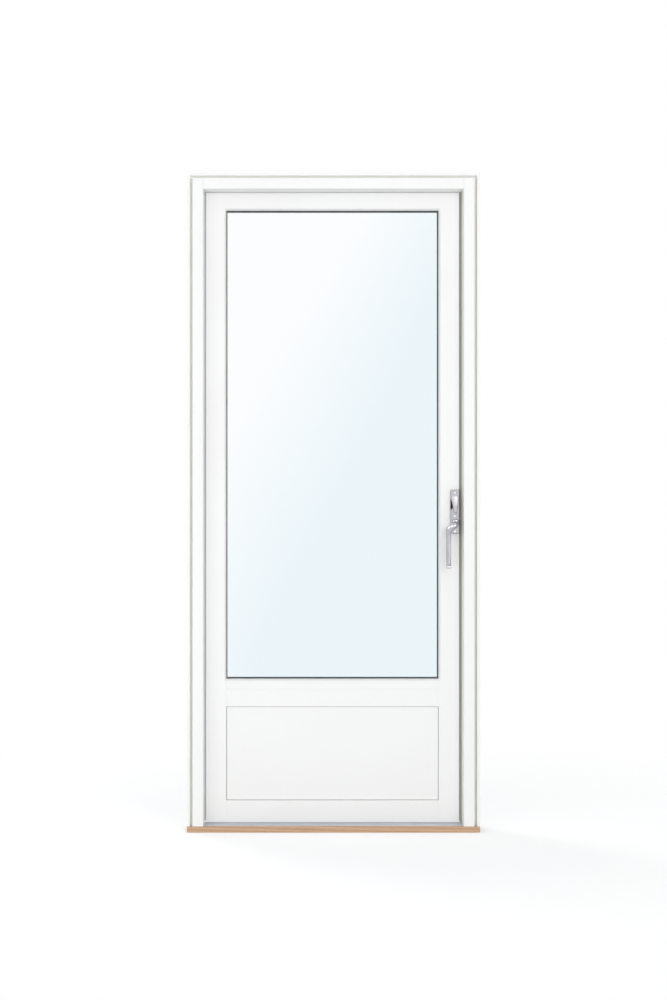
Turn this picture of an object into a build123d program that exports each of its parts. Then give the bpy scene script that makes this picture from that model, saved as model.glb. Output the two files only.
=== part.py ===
from build123d import *
import os

os.makedirs("parts", exist_ok=True)

# Glazed patio door: a white painted leaf in its frame, opening outwards.
# Millimetres. X runs along the wall, -Y is the room side, +Y is the open air,
# Z is up. The origin is the middle of the threshold's underside.

# Frame
frame_width = 880
frame_height = 1980
frame_depth = 115
sight_width = 49            # of the jambs and the head, seen from the room
arris = 2.5                 # rounding of the painted edges
lining_groove_inset = 9     # strip between the groove and the frame's edge
lining_groove_width = 8
lining_groove_depth = 12
fixing_radius = 7           # holes for the sleeves that hold the jambs to the wall
fixing_count = 4            # in each jamb
fixing_end_distance = 240   # of the first and last, from the frame's ends

# Threshold
sill_height = 18
sill_fall = 7               # of the oak's top, from the rebate to its outer edge
rail_thickness = 3
rail_front_setback = 12     # oak left bare in front of the aluminium rail
rail_end_gap = 0.5
grip_groove_pitch = 5
grip_groove_width = 1.5
grip_groove_depth = 0.7
grip_groove_count = 6
seal_channel_width = 8
seal_channel_setback = 19   # of its middle, from the leaf's inner face

# Gaps round the leaf
hinge_gap = 5
lock_gap = 9                # wider, as the inner corner swings out past its place
top_gap = 5
bottom_gap = 5
seal_gap = 5                # from the seal to the frame's shoulder

# Leaf
leaf_thickness = 65
lip_thickness = 24.5
lip_width = 14              # the lip stands out this much past the leaf's inner part
stile_width = 63
top_rail_height = 53
middle_rail_height = 83
bottom_rail_height = 66
panel_height = 284
bevel_width = 5             # round the glass, on the room side
bevel_depth = 8
bead_line_drop = 31         # fine groove across the middle rail, below the glass
bead_line_width = 2.5
bead_line_depth = 1.2
panel_recess = 6            # set back of the lower panel's inner face
seal_thickness = 3
seal_inset = 2.5            # from the lip's edge

# Glazing
glazing_rebate = 15         # how far the glass runs in behind the timber
glass_edge_gap = 3
inner_leg = 16.5            # timber left on the room side of the glass
gasket_thickness = 3
gasket_lip = 2.5            # the part of the gasket that shows round the glass
pane_thickness = 4
pane_space = 16
bead_gasket_thickness = 2
spacer_width = 10
bead_slope = 5
bottom_bead_nose = 9        # the bottom bead stands out this much, to shed water
bottom_bead_lip = 4

# Lower panel, a board on each side of a core
board_thickness = 9
board_fit = 1
board_corner = 1
outer_board_recess = 2
outer_board_bevel = 4

# Hinges
hinge_half_height = 48
hinge_slip = 0.4            # between the two halves
hinge_end_distance = 180    # of the end hinges, from the leaf's ends
hinge_stand_off = 10        # of the hinge axis from the outer face
knuckle_radius = 7
pin_radius = 4
pin_clearance = 0.05
pin_top_gap = 3
cap_depth = 4               # of the closed top of the upper half
flap_thickness = 3
flap_width = 30
flap_corner = 4

# Handle
lever_axis_height = 930
plate_width = 27
plate_height = 133
plate_thickness = 9
plate_above_axis = 98       # from the lever's axis to the plate's top
plate_edge_inset = 1        # from the leaf's edge
plate_corner = 3
plate_chamfer = 1.2
lever_axis_shift = 1.5      # from the plate's centre line, towards the edge
hub_radius = 10
hub_height = 9
hub_chamfer = 2
hub_gap = 0.3
spigot_radius = 6
spigot_clearance = 0.05
bar_radius = 7.5
bar_start = 3.5             # inside the hub, out from the plate's face
bend = [                    # sideways, out from the plate's face, down from the axis
    (0, 8, 0),
    (0, 15, 2),
    (0.8, 22, 5),
    (3.5, 28, 7.5),
    (8.5, 31.2, 10.3),
    (14.5, 32, 14.7),
    (20, 32, 21),
    (23.5, 32, 29),
    (25, 32, 40),
]
grip_end_drop = 130         # from the lever's axis, downwards
cap_radius = 7.7
cap_length = 9
cap_chamfer = 1.2
screw_offsets = [89, 18, -28]   # from the lever's axis, upwards
screw_radius = 3.6
screw_depth = 2.5
screw_slot_length = 4.4
screw_slot_width = 1
screw_slot_depth = 1.2
catch_above_axis = 69.5
catch_radius = 11
catch_tail = 42             # from the catch's pivot down to the tail's end
catch_tail_radius = 5
catch_tail_shift = 2        # of the tail's end towards the leaf's edge
catch_thickness = 7
catch_chamfer = 2
catch_gap = 0.4
catch_spigot_radius = 3
catch_spigot_length = 6
notch_depth = 6
notch_top_width = 7.5       # beside the catch's tail, from the plate's edge
notch_width = 11.5
notch_height = 34

# Faceplate in the leaf's edge and keeps in the jamb
faceplate_width = 20
faceplate_thickness = 2.5
faceplate_end_distance = 117
edge_set_back = 4           # of both from the middle of the leaf's inner part
keep_height = 90
keep_width = 24
keep_thickness = 2.5
keep_slot_width = 10
keep_slot_height = 55
keep_end_distance = 375     # of the end keeps' middles from the leaf's ends
keep_above_axis = 30

# Drip bar on the outside of the bottom rail
drip_height = 38
drip_reach = 28
drip_bottom_gap = 4
drip_lip = 5
drip_lip_drop = 2
drip_nose_height = 6

# Worked out from the sizes above
inner_face = -frame_depth / 2
outer_face = frame_depth / 2
half_width = frame_width / 2
half_opening = half_width - sight_width
half_rebate = half_opening + lip_width
lip_inner = outer_face - lip_thickness
shoulder = lip_inner - seal_thickness - seal_gap
rebate_depth = outer_face - shoulder
head_underside = frame_height - sight_width
rebate_top = head_underside + lip_width

leaf_left = -half_opening + hinge_gap
leaf_right = half_opening - lock_gap
lip_left = leaf_left - lip_width
lip_right = leaf_right + lip_width
leaf_top = head_underside - top_gap
lip_top = leaf_top + lip_width
leaf_bottom = sill_height + bottom_gap
leaf_inner = outer_face - leaf_thickness

sight_left = leaf_left + stile_width
sight_right = leaf_right - stile_width
sight_span = sight_right - sight_left
sight_middle = (sight_left + sight_right) / 2
rebate_left = sight_left - glazing_rebate
rebate_right = sight_right + glazing_rebate
rebate_span = rebate_right - rebate_left
panel_bottom = leaf_bottom + bottom_rail_height
panel_top = panel_bottom + panel_height
glass_bottom = panel_top + middle_rail_height
glass_top = leaf_top - top_rail_height
glass_height = glass_top - glass_bottom
glass_middle = (glass_top + glass_bottom) / 2

glazing_face = leaf_inner + inner_leg
pane_face = glazing_face + gasket_thickness
pane_back = pane_face + 2 * pane_thickness + pane_space
bead_face = pane_back + bead_gasket_thickness
pane_width = rebate_span - 2 * glass_edge_gap
pane_height = glass_height + 2 * glazing_rebate - 2 * glass_edge_gap

hinge_axis_x = -half_rebate + hinge_gap / 2
hinge_axis_y = outer_face + hinge_stand_off
hinge_height = 2 * hinge_half_height + hinge_slip
lowest_hinge = leaf_bottom + hinge_end_distance
highest_hinge = leaf_top - hinge_end_distance - hinge_height
hinge_heights = [lowest_hinge, (lowest_hinge + highest_hinge) / 2, highest_hinge]

fixing_spacing = (frame_height - 2 * fixing_end_distance) / (fixing_count - 1)
fixing_heights = [fixing_end_distance + step * fixing_spacing for step in range(fixing_count)]
fixing_y = (shoulder + outer_face) / 2

plate_x = leaf_right - plate_edge_inset - plate_width / 2
plate_face = leaf_inner - plate_thickness
plate_middle = lever_axis_height + plate_above_axis - plate_height / 2
lever_x = plate_x + lever_axis_shift
catch_height = lever_axis_height + catch_above_axis
grip_x = lever_x - bend[-1][0]
grip_y = plate_face - bend[-1][1]
grip_end = lever_axis_height - grip_end_drop

edge_middle = (leaf_inner + lip_inner) / 2 - edge_set_back
faceplate_bottom = leaf_bottom + faceplate_end_distance
faceplate_top = leaf_top - faceplate_end_distance
keep_heights = [
    leaf_bottom + keep_end_distance,
    lever_axis_height + keep_above_axis,
    leaf_top - keep_end_distance,
]


def finish(piece, name):
    piece.part.label = name
    export_step(piece.part, "parts/" + name + ".step")


# Jambs. The plan is drawn once for each side, with the rebate for the leaf's
# lip at the outer corner, and stands on the threshold.
for side, name in ((-1, "frame_jamb_hinge"), (1, "frame_jamb_lock")):
    with BuildPart() as jamb:
        with BuildSketch(Plane.XY.offset(sill_height)):
            with BuildLine():
                Polyline(
                    (side * half_width, inner_face),
                    (side * half_opening, inner_face),
                    (side * half_opening, shoulder),
                    (side * half_rebate, shoulder),
                    (side * half_rebate, outer_face),
                    (side * half_width, outer_face),
                    close=True,
                )
            make_face()
            inner_corner = vertices().sort_by_distance((side * half_opening, inner_face))[0]
            outer_corner = vertices().sort_by_distance((side * half_rebate, outer_face))[0]
            fillet([inner_corner, outer_corner], radius=arris)
        extrude(amount=frame_height - sill_height)
        groove_x = side * (half_width - lining_groove_inset - lining_groove_width / 2)
        groove_top = frame_height - lining_groove_inset
        with BuildSketch(Plane.XZ.offset(-inner_face)):
            with Locations((groove_x, (sill_height + groove_top) / 2)):
                Rectangle(lining_groove_width, groove_top - sill_height)
            head_groove_length = half_width - lining_groove_inset - half_opening
            with Locations((
                side * (half_opening + head_groove_length / 2),
                groove_top - lining_groove_width / 2,
            )):
                Rectangle(head_groove_length, lining_groove_width)
        extrude(amount=-lining_groove_depth, mode=Mode.SUBTRACT)
        with BuildSketch(Plane.YZ.offset(side * half_width)):
            with Locations([(fixing_y, height) for height in fixing_heights]):
                Circle(fixing_radius)
        extrude(amount=-side * sight_width, mode=Mode.SUBTRACT)
        if side > 0:
            # Shallow seats for the keeps, in the face towards the leaf's edge
            with BuildSketch(Plane.YZ.offset(half_opening)):
                with Locations([(edge_middle, height) for height in keep_heights]):
                    SlotOverall(keep_height, keep_width, rotation=90)
            extrude(amount=keep_thickness, mode=Mode.SUBTRACT)
    finish(jamb, name)

# Head, between the jambs, wider and thinner where it meets their rebates
with BuildPart() as head:
    with BuildSketch(Plane.YZ.offset(-half_opening)):
        with Locations(((inner_face + shoulder) / 2, (head_underside + frame_height) / 2)):
            Rectangle(shoulder - inner_face, sight_width)
        fillet(vertices().sort_by_distance((inner_face, head_underside))[0], radius=arris)
    extrude(amount=2 * half_opening)
    with BuildSketch(Plane.YZ.offset(-half_rebate)):
        with Locations(((outer_face + shoulder) / 2, (rebate_top + frame_height) / 2)):
            Rectangle(rebate_depth, frame_height - rebate_top)
        fillet(vertices().sort_by_distance((outer_face, rebate_top))[0], radius=arris)
    extrude(amount=2 * half_rebate)
    with BuildSketch(Plane.XZ.offset(-inner_face)):
        with Locations((0, frame_height - lining_groove_inset - lining_groove_width / 2)):
            Rectangle(2 * half_opening, lining_groove_width)
    extrude(amount=-lining_groove_depth, mode=Mode.SUBTRACT)
finish(head, "frame_head")

# Oak threshold under the whole frame, falling outwards between the jambs
with BuildPart() as sill:
    with BuildSketch(Plane.YZ.offset(-half_width)):
        with BuildLine():
            Polyline(
                (inner_face, 0),
                (outer_face, 0),
                (outer_face, sill_height),
                (inner_face, sill_height),
                close=True,
            )
        make_face()
        fillet(vertices().sort_by_distance((inner_face, sill_height))[0], radius=arris)
    extrude(amount=frame_width)
    with BuildSketch(Plane.YZ.offset(-half_rebate)):
        with BuildLine():
            Polyline(
                (shoulder + rail_thickness, sill_height),
                (outer_face, sill_height - sill_fall),
                (outer_face, sill_height),
                close=True,
            )
        make_face()
    extrude(amount=2 * half_rebate, mode=Mode.SUBTRACT)
    rail_front = inner_face + rail_front_setback
    rail_back = shoulder + rail_end_gap
    rail_length = 2 * (half_opening - rail_end_gap)
    with BuildSketch(Plane.XY.offset(sill_height)):
        with Locations((0, (rail_front + rail_back) / 2)):
            Rectangle(rail_length, rail_back - rail_front)
    extrude(amount=-rail_thickness, mode=Mode.SUBTRACT)
finish(sill, "threshold_oak")

# Aluminium rail let into the oak, with fine grip grooves and a seal channel
with BuildPart() as rail:
    with BuildSketch(Plane.YZ.offset(-rail_length / 2)):
        with BuildLine():
            Polyline(
                (rail_front, sill_height - rail_thickness),
                (rail_back, sill_height - rail_thickness),
                (rail_back, sill_height),
                (rail_front, sill_height),
                close=True,
            )
        make_face()
        seal_channel_y = leaf_inner + seal_channel_setback
        with Locations((seal_channel_y, sill_height)):
            Rectangle(seal_channel_width, rail_thickness, mode=Mode.SUBTRACT)
        groove_middle = rail_front + grip_groove_pitch * (grip_groove_count + 1) / 2
        with Locations((groove_middle, sill_height)):
            with GridLocations(grip_groove_pitch, 1, grip_groove_count, 1):
                Rectangle(grip_groove_width, 2 * grip_groove_depth, mode=Mode.SUBTRACT)
    extrude(amount=rail_length)
finish(rail, "threshold_rail")

with BuildPart() as rail_seal:
    with BuildSketch(Plane.YZ.offset(-rail_length / 2)):
        with Locations((seal_channel_y, sill_height - rail_thickness / 4)):
            Rectangle(seal_channel_width, rail_thickness / 2)
    extrude(amount=rail_length)
finish(rail_seal, "threshold_seal")

# The bevel round the glass, cut from the stiles and rails with mitred corners
with BuildPart() as glass_bevel:
    with BuildSketch(Plane.XZ.offset(-leaf_inner)):
        with Locations((sight_middle, glass_middle)):
            Rectangle(sight_span + 2 * bevel_width, glass_height + 2 * bevel_width)
    with BuildSketch(Plane.XZ.offset(-leaf_inner - bevel_depth)):
        with Locations((sight_middle, glass_middle)):
            Rectangle(sight_span, glass_height)
    loft()

# Stiles of the leaf: an inner part that fills the opening, a lip outside it,
# and the glazing rebate on the side of the glass.
for side, edge_x, lip_x, sight_x, name in (
    (-1, leaf_left, lip_left, sight_left, "leaf_stile_hinge"),
    (1, leaf_right, lip_right, sight_right, "leaf_stile_lock"),
):
    rebate_x = sight_x + side * glazing_rebate
    with BuildPart() as stile:
        with BuildSketch(Plane.XY.offset(leaf_bottom)):
            with BuildLine():
                Polyline(
                    (edge_x, leaf_inner),
                    (sight_x, leaf_inner),
                    (sight_x, glazing_face),
                    (rebate_x, glazing_face),
                    (rebate_x, outer_face),
                    (lip_x, outer_face),
                    (lip_x, lip_inner),
                    (edge_x, lip_inner),
                    close=True,
                )
            make_face()
            rounded = [
                vertices().sort_by_distance((edge_x, leaf_inner))[0],
                vertices().sort_by_distance((lip_x, outer_face))[0],
            ]
            fillet(rounded, radius=arris)
        extrude(amount=leaf_top - leaf_bottom)
        # The lip runs on above the inner part, behind the head's rebate
        with BuildSketch(Plane.XY.offset(leaf_top)):
            with BuildLine():
                Polyline(
                    (lip_x, lip_inner),
                    (rebate_x, lip_inner),
                    (rebate_x, outer_face),
                    (lip_x, outer_face),
                    close=True,
                )
            make_face()
            fillet(vertices().sort_by_distance((lip_x, outer_face))[0], radius=arris)
        extrude(amount=lip_width)
        add(glass_bevel.part, mode=Mode.SUBTRACT)
        if side > 0:
            # Seat for the faceplate
            with BuildSketch(Plane.YZ.offset(leaf_right)):
                with Locations((edge_middle, (faceplate_bottom + faceplate_top) / 2)):
                    SlotOverall(
                        faceplate_top - faceplate_bottom, faceplate_width, rotation=90,
                    )
            extrude(amount=-faceplate_thickness, mode=Mode.SUBTRACT)
    finish(stile, name)

# Rails of the leaf, drawn in section and run between the stiles
with BuildPart() as top_rail:
    with BuildSketch(Plane.YZ.offset(sight_left)):
        with Locations(((leaf_inner + glazing_face) / 2, (glass_top + leaf_top) / 2)):
            Rectangle(inner_leg, top_rail_height)
    extrude(amount=sight_span)
    with BuildSketch(Plane.YZ.offset(rebate_left)):
        with BuildLine():
            Polyline(
                (glazing_face, glass_top + glazing_rebate),
                (outer_face, glass_top + glazing_rebate),
                (outer_face, lip_top),
                (lip_inner, lip_top),
                (lip_inner, leaf_top),
                (glazing_face, leaf_top),
                close=True,
            )
        make_face()
        fillet(vertices().sort_by_distance((outer_face, lip_top))[0], radius=arris)
    extrude(amount=rebate_span)
    add(glass_bevel.part, mode=Mode.SUBTRACT)
finish(top_rail, "leaf_rail_top")

with BuildPart() as middle_rail:
    with BuildSketch(Plane.YZ.offset(sight_left)):
        with Locations(((leaf_inner + glazing_face) / 2, (glass_bottom + panel_top) / 2)):
            Rectangle(inner_leg, middle_rail_height)
    extrude(amount=sight_span)
    with BuildSketch(Plane.YZ.offset(rebate_left)):
        with Locations(((outer_face + glazing_face) / 2, (glass_bottom + panel_top) / 2)):
            Rectangle(outer_face - glazing_face, middle_rail_height - 2 * glazing_rebate)
    extrude(amount=rebate_span)
    add(glass_bevel.part, mode=Mode.SUBTRACT)
    with BuildSketch(Plane.YZ.offset(sight_left)):
        with Locations((leaf_inner, glass_bottom - bead_line_drop)):
            Rectangle(2 * bead_line_depth, bead_line_width)
    extrude(amount=sight_span, mode=Mode.SUBTRACT)
finish(middle_rail, "leaf_rail_middle")

with BuildPart() as bottom_rail:
    with BuildSketch(Plane.YZ.offset(sight_left)):
        with Locations(((leaf_inner + glazing_face) / 2, (leaf_bottom + panel_bottom) / 2)):
            Rectangle(inner_leg, bottom_rail_height)
    extrude(amount=sight_span)
    with BuildSketch(Plane.YZ.offset(rebate_left)):
        bottom_rail_back = bottom_rail_height - glazing_rebate
        with Locations(((outer_face + glazing_face) / 2, leaf_bottom + bottom_rail_back / 2)):
            Rectangle(outer_face - glazing_face, bottom_rail_back)
    extrude(amount=rebate_span)
finish(bottom_rail, "leaf_rail_bottom")

# Lower panel: two boards with a core between them. The inner board has a
# raised field that fills the opening, set back a little from the timber.
panel_middle = (panel_top + panel_bottom) / 2
board_span = rebate_span - 2 * board_fit
board_height = panel_height + 2 * glazing_rebate - 2 * board_fit
core_thickness = outer_face - outer_board_recess - glazing_face - 2 * board_thickness
core_face = glazing_face + board_thickness
outer_board_face = core_face + core_thickness

with BuildPart() as inner_board:
    with BuildSketch(Plane.XZ.offset(-glazing_face)):
        with Locations((sight_middle, panel_middle)):
            Rectangle(board_span, board_height)
    extrude(amount=-board_thickness)
    with BuildSketch(Plane.XZ.offset(-glazing_face)):
        with Locations((sight_middle, panel_middle)):
            RectangleRounded(
                sight_span - 2 * board_fit, panel_height - 2 * board_fit, board_corner,
            )
    extrude(amount=inner_leg - panel_recess)
    chamfer(faces().sort_by(Axis.Y)[0].edges(), length=board_corner)
finish(inner_board, "leaf_panel_inner")

with BuildPart() as core:
    with BuildSketch(Plane.XZ.offset(-core_face)):
        with Locations((sight_middle, panel_middle)):
            Rectangle(board_span, board_height)
    extrude(amount=-core_thickness)
finish(core, "leaf_panel_core")

with BuildPart() as outer_board:
    with BuildSketch(Plane.XZ.offset(-outer_board_face)):
        with Locations((sight_middle, panel_middle)):
            Rectangle(board_span, board_height)
    extrude(amount=-board_thickness)
    chamfer(faces().sort_by(Axis.Y)[-1].edges(), length=outer_board_bevel)
finish(outer_board, "leaf_panel_outer")

# Insulating glass: two panes and the spacer between their edges
for pane_y, name in (
    (pane_face, "glass_inner"),
    (pane_face + pane_thickness + pane_space, "glass_outer"),
):
    with BuildPart() as pane:
        with BuildSketch(Plane.XZ.offset(-pane_y)):
            with Locations((sight_middle, glass_middle)):
                Rectangle(pane_width, pane_height)
        extrude(amount=-pane_thickness)
    finish(pane, name)

with BuildPart() as spacer:
    with BuildSketch(Plane.XZ.offset(-pane_face - pane_thickness)):
        with Locations((sight_middle, glass_middle)):
            Rectangle(pane_width, pane_height)
            Rectangle(
                pane_width - 2 * spacer_width, pane_height - 2 * spacer_width,
                mode=Mode.SUBTRACT,
            )
    extrude(amount=-pane_space)
finish(spacer, "glass_spacer")

for seal_y, seal_depth, name in (
    (glazing_face, gasket_thickness, "glass_gasket_inner"),
    (pane_back, bead_gasket_thickness, "glass_gasket_outer"),
):
    with BuildPart() as gasket:
        with BuildSketch(Plane.XZ.offset(-seal_y)):
            with Locations((sight_middle, glass_middle)):
                Rectangle(pane_width, pane_height)
                Rectangle(
                    sight_span - 2 * gasket_lip, glass_height - 2 * gasket_lip,
                    mode=Mode.SUBTRACT,
                )
        extrude(amount=-seal_depth)
    finish(gasket, name)

# Glazing beads outside: the two upright ones between the top and bottom ones,
# the bottom one deeper and sloped to shed water.
for side, rebate_x, name in (
    (1, rebate_left, "glazing_bead_left"),
    (-1, rebate_right, "glazing_bead_right"),
):
    with BuildPart() as bead:
        with BuildSketch(Plane.XY.offset(glass_bottom)):
            with BuildLine():
                Polyline(
                    (rebate_x, bead_face),
                    (rebate_x + side * glazing_rebate, bead_face),
                    (rebate_x + side * glazing_rebate, outer_face - bead_slope),
                    (rebate_x + side * (glazing_rebate - bead_slope), outer_face),
                    (rebate_x, outer_face),
                    close=True,
                )
            make_face()
        extrude(amount=glass_height)
    finish(bead, name)

with BuildPart() as top_bead:
    with BuildSketch(Plane.YZ.offset(rebate_left)):
        with BuildLine():
            Polyline(
                (bead_face, glass_top + glazing_rebate),
                (bead_face, glass_top),
                (outer_face - bead_slope, glass_top),
                (outer_face, glass_top + bead_slope),
                (outer_face, glass_top + glazing_rebate),
                close=True,
            )
        make_face()
    extrude(amount=rebate_span)
finish(top_bead, "glazing_bead_top")

bead_bottom = glass_bottom - glazing_rebate
with BuildPart() as bottom_bead:
    with BuildSketch(Plane.YZ.offset(rebate_left)):
        with BuildLine():
            Polyline(
                (bead_face, bead_bottom),
                (bead_face, glass_bottom),
                (outer_face + bottom_bead_nose, bead_bottom + bottom_bead_lip),
                (outer_face + bottom_bead_nose, bead_bottom),
                close=True,
            )
        make_face()
    extrude(amount=rebate_span)
finish(bottom_bead, "glazing_bead_bottom")

# Seals on the inner face of the leaf's lip, seen through the gap
seal_width = lip_width - seal_inset
for side, edge_x, name in (
    (-1, leaf_left, "leaf_seal_hinge"),
    (1, leaf_right, "leaf_seal_lock"),
):
    with BuildPart() as seal:
        with BuildSketch(Plane.XY.offset(leaf_bottom)):
            with Locations((edge_x + side * seal_width / 2, lip_inner - seal_thickness / 2)):
                Rectangle(seal_width, seal_thickness)
        extrude(amount=leaf_top - leaf_bottom)
    finish(seal, name)

with BuildPart() as seal:
    with BuildSketch(Plane.XY.offset(leaf_top)):
        with Locations(((lip_left + lip_right) / 2, lip_inner - seal_thickness / 2)):
            Rectangle(lip_right - lip_left - 2 * seal_inset, seal_thickness)
    extrude(amount=seal_width)
finish(seal, "leaf_seal_top")

# Drip bar on the outside of the bottom rail, with a lip under its nose
drip_bottom = leaf_bottom + drip_bottom_gap
drip_nose = outer_face + drip_reach
with BuildPart() as drip:
    with BuildSketch(Plane.YZ.offset(rebate_left)):
        with BuildLine():
            Polyline(
                (outer_face, drip_bottom),
                (drip_nose - drip_lip, drip_bottom),
                (drip_nose - drip_lip, drip_bottom - drip_lip_drop),
                (drip_nose, drip_bottom - drip_lip_drop),
                (drip_nose, drip_bottom + drip_nose_height),
                (outer_face + drip_lip, drip_bottom + drip_height),
                (outer_face, drip_bottom + drip_height),
                close=True,
            )
        make_face()
        fillet(vertices().sort_by_distance((drip_nose, drip_bottom + drip_nose_height))[0],
               radius=arris)
    extrude(amount=rebate_span)
finish(drip, "drip_bar")

# Hinges: the lower half with its pin on the frame, the upper half on the leaf
for number, height in enumerate(hinge_heights, start=1):
    for side, part_name in ((-1, "frame"), (1, "leaf")):
        base = height if side < 0 else height + hinge_half_height + hinge_slip
        with BuildPart() as half:
            with BuildSketch(Plane.XY.offset(base)):
                with BuildLine():
                    Polyline(
                        (hinge_axis_x + side * flap_width, outer_face),
                        (hinge_axis_x + side * knuckle_radius / 2, outer_face),
                        (hinge_axis_x, hinge_axis_y - knuckle_radius),
                        (hinge_axis_x + side * knuckle_radius, hinge_axis_y),
                        (
                            hinge_axis_x + side * (knuckle_radius + flap_thickness),
                            outer_face + flap_thickness,
                        ),
                        (hinge_axis_x + side * flap_width, outer_face + flap_thickness),
                        close=True,
                    )
                make_face()
                with Locations((hinge_axis_x, hinge_axis_y)):
                    Circle(knuckle_radius)
            extrude(amount=hinge_half_height)
            flap_end = faces().filter_by(Axis.X).sort_by(Axis.X)[0 if side < 0 else -1]
            chamfer(flap_end.edges().filter_by(Axis.Y), length=flap_corner)
            if side < 0:
                # The pin stands up from this half into the one above
                with BuildSketch(Plane.XY.offset(base)):
                    with Locations((hinge_axis_x, hinge_axis_y)):
                        Circle(pin_radius)
                extrude(amount=2 * hinge_half_height - pin_top_gap - cap_depth)
                chamfer(edges().filter_by(GeomType.CIRCLE).sort_by(Axis.Z)[-1], length=1)
            else:
                with BuildSketch(Plane.XY.offset(base)):
                    with Locations((hinge_axis_x, hinge_axis_y)):
                        Circle(pin_radius + pin_clearance)
                extrude(amount=hinge_half_height - cap_depth, mode=Mode.SUBTRACT)
        finish(half, "hinge_" + str(number) + "_" + part_name)

# Steel faceplate let into the leaf's edge, and the keeps in the jamb
with BuildPart() as faceplate:
    with BuildSketch(Plane.YZ.offset(leaf_right)):
        with Locations((edge_middle, (faceplate_bottom + faceplate_top) / 2)):
            SlotOverall(faceplate_top - faceplate_bottom, faceplate_width, rotation=90)
    extrude(amount=-faceplate_thickness)
finish(faceplate, "lock_faceplate")

for number, height in enumerate(keep_heights, start=1):
    with BuildPart() as keep:
        with BuildSketch(Plane.YZ.offset(half_opening)):
            with Locations((edge_middle, height)):
                SlotOverall(keep_height, keep_width, rotation=90)
                Rectangle(keep_slot_width, keep_slot_height, mode=Mode.SUBTRACT)
        extrude(amount=keep_thickness)
    finish(keep, "keep_" + str(number))

# Handle plate at the leaf's edge, with a notch beside the catch's tail
plate_left = plate_x - plate_width / 2
with BuildPart() as plate:
    with BuildSketch(Plane.XZ.offset(-leaf_inner)):
        with Locations((plate_x, plate_middle)):
            RectangleRounded(plate_width, plate_height, plate_corner)
    extrude(amount=plate_thickness)
    chamfer(faces().sort_by(Axis.Y)[0].edges(), length=plate_chamfer)
    with BuildSketch(Plane.XZ.offset(-plate_face)):
        with BuildLine():
            Polyline(
                (plate_left, catch_height),
                (plate_left, catch_height - notch_height),
                (plate_left + notch_width, catch_height - notch_height + notch_width),
                (plate_left + notch_top_width, catch_height),
                close=True,
            )
        make_face()
    extrude(amount=-notch_depth, mode=Mode.SUBTRACT)
    with BuildSketch(Plane.XZ.offset(-plate_face)):
        with Locations((lever_x, lever_axis_height)):
            Circle(spigot_radius + spigot_clearance)
        with Locations((plate_x, catch_height)):
            Circle(catch_spigot_radius + spigot_clearance)
    extrude(amount=-plate_thickness, mode=Mode.SUBTRACT)
    with BuildSketch(Plane.XZ.offset(-plate_face)):
        with Locations([(plate_x, lever_axis_height + offset) for offset in screw_offsets]):
            Circle(screw_radius)
    extrude(amount=-screw_depth, mode=Mode.SUBTRACT)
finish(plate, "handle_plate")

for number, offset in enumerate(screw_offsets, start=1):
    place = (plate_x, lever_axis_height + offset)
    with BuildPart() as screw:
        with BuildSketch(Plane.XZ.offset(-plate_face)):
            with Locations(place):
                Circle(screw_radius)
        extrude(amount=-screw_depth)
        with BuildSketch(Plane.XZ.offset(-plate_face)):
            with Locations(place):
                Rectangle(screw_slot_length, screw_slot_width, rotation=45)
                Rectangle(screw_slot_width, screw_slot_length, rotation=45)
        extrude(amount=-screw_slot_depth, mode=Mode.SUBTRACT)
    finish(screw, "handle_screw_" + str(number))

# Thumb catch: round at its pivot, drawn down to a tail
with BuildPart() as catch:
    with BuildSketch(Plane.XZ.offset(-plate_face + catch_gap)):
        with Locations((plate_x, catch_height)):
            Circle(catch_radius)
        tail_height = catch_height - catch_tail + catch_tail_radius
        with Locations((plate_x + catch_tail_shift, tail_height)):
            Circle(catch_tail_radius)
        make_hull()
    extrude(amount=catch_thickness)
    chamfer(faces().sort_by(Axis.Y)[0].edges(), length=catch_chamfer)
    with BuildSketch(Plane.XZ.offset(-plate_face + catch_gap)):
        with Locations((plate_x, catch_height)):
            Circle(catch_spigot_radius)
    extrude(amount=-catch_gap - catch_spigot_length)
finish(catch, "thumb_catch")

# Cranked lever: a round hub on the plate, and a bent round bar that comes out
# of it, swings to one side and hangs straight down as the grip.
with BuildPart() as lever:
    with BuildSketch(Plane.XZ.offset(-plate_face + hub_gap)):
        with Locations((lever_x, lever_axis_height)):
            Circle(hub_radius)
    extrude(amount=hub_height)
    chamfer(faces().sort_by(Axis.Y)[0].edges(), length=hub_chamfer)
    with BuildSketch(Plane.XZ.offset(-plate_face + hub_gap)):
        with Locations((lever_x, lever_axis_height)):
            Circle(spigot_radius)
    extrude(amount=-hub_gap - plate_thickness + 1)
    # The bar runs straight out of the hub, then bends to one side and down to
    # the grip, in short straight runs.
    corners = [
        (lever_x - sideways, plate_face - outwards, lever_axis_height - downwards)
        for sideways, outwards, downwards in [(0, bar_start, 0)] + bend
    ]
    with BuildLine() as bar_line:
        Polyline(*corners, (grip_x, grip_y, grip_end))
    with BuildSketch(Plane(origin=bar_line.line @ 0, z_dir=bar_line.line % 0)):
        Circle(bar_radius)
    sweep(transition=Transition.RIGHT)
finish(lever, "lever")

with BuildPart() as cap:
    with BuildSketch(Plane(origin=(grip_x, grip_y, grip_end), z_dir=(0, 0, -1))):
        Circle(cap_radius)
    extrude(amount=cap_length)
    chamfer(faces().sort_by(Axis.Z)[0].edges(), length=cap_chamfer)
finish(cap, "lever_cap")
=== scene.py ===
import math

import bpy
from mathutils import Matrix, Vector


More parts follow.
